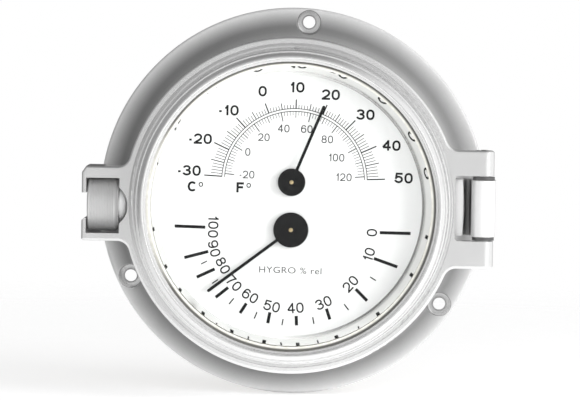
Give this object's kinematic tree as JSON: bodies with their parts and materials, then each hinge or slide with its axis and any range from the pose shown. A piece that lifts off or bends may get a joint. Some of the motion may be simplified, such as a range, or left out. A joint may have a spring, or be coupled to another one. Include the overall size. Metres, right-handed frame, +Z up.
{
  "type": "dial hygrometer",
  "caption": "Round dial hygrometer and thermometer in a satin metal porthole case with a hinged glass bezel, thumbwheel latch and three-hole flange.",
  "frame": {"origin": "centre of the flange's flat mounting face", "axes": "+Z up the dial, +X to the reader's right towards the hinge, -Y out of the dial towards the reader, +Y out of the back into the wall"},
  "size_m": [0.1204, 0.0376, 0.115],
  "materials": {
    "satin_case": "satin",
    "satin_bezel": "satin",
    "polished_chrome": "polished",
    "turned_steel": "fine turned lines",
    "brass": "turned",
    "screw_steel": "plain",
    "plate_aluminium": "brushed",
    "dial_white": "matt white enamel",
    "pointer_black": "matt black",
    "clear_glass": "polished",
    "cream_rubber": "smooth",
    "black_rubber": "smooth",
    "bimetal_strip": "rolled strip",
    "humidity_strip": "thin coated strip",
    "back_plate_metal": "lacquered"
  },
  "bodies": {
    "case": {"case_body": "satin_case", "latch_keeper": "brass", "case_seal": "black_rubber", "hinge_bracket": "satin_case", "hinge_pin": "screw_steel", "hinge_washers": "brass", "bracket_screws": "screw_steel", "back_plate": "back_plate_metal", "back_plate_screws": "brass", "movement_plate": "plate_aluminium", "movement_plate_screws": "brass", "dial_plate": "dial_white", "dial_surround": "polished_chrome", "thermo_bush": "brass", "hygro_bush": "brass", "thermo_bridge": "brass", "hygro_bridge": "brass", "bridge_screws": "screw_steel", "thermo_bimetal_coil": "bimetal_strip", "hygro_coil": "humidity_strip", "thermo_coil_anchor": "brass", "hygro_coil_anchor": "brass"},
    "bezel": {"bezel_ring": "satin_bezel", "glass_gasket": "cream_rubber", "glass": "clear_glass", "glass_retainer": "brass"},
    "latch_wheel": {"thumb_wheel": "turned_steel"},
    "latch_bolt": {"lock_bolt": "screw_steel"},
    "thermo_hand": {"thermo_arbor": "brass", "thermo_collet": "brass", "thermo_pointer": "pointer_black"},
    "hygro_hand": {"hygro_arbor": "brass", "hygro_collet": "brass", "hygro_pointer": "pointer_black"}
  },
  "joints": [
    {"name": "bezel_hinge", "type": "hinge", "parent": "case", "child": "bezel", "pos_m": [0.0559, -0.027, 0], "axis": [0, 0, 1], "range_deg": [0, 115]},
    {"name": "latch_wheel_turn", "type": "hinge", "parent": "bezel", "child": "latch_wheel", "pos_m": [-0.055, -0.0218, -0.0008], "axis": [1, 0, 0], "range_deg": [0, 720]},
    {"name": "latch_bolt_slide", "type": "slide", "parent": "bezel", "child": "latch_bolt", "axis": [1, 0, 0], "range_m": [0, 0.003]},
    {"name": "thermometer_pointer", "type": "hinge", "parent": "case", "child": "thermo_hand", "pos_m": [0, -0.0287, 0.0068], "axis": [0, 1, 0], "range_deg": [-108.5, 66]},
    {"name": "hygrometer_pointer", "type": "hinge", "parent": "case", "child": "hygro_hand", "pos_m": [0, -0.0285, -0.0071], "axis": [0, 1, 0], "range_deg": [-141.6, 38.2]}
  ],
  "couplings": [
    {"joint": "latch_bolt_slide", "follows": "latch_wheel_turn", "m_per_rad": 0.00023873}
  ]
}
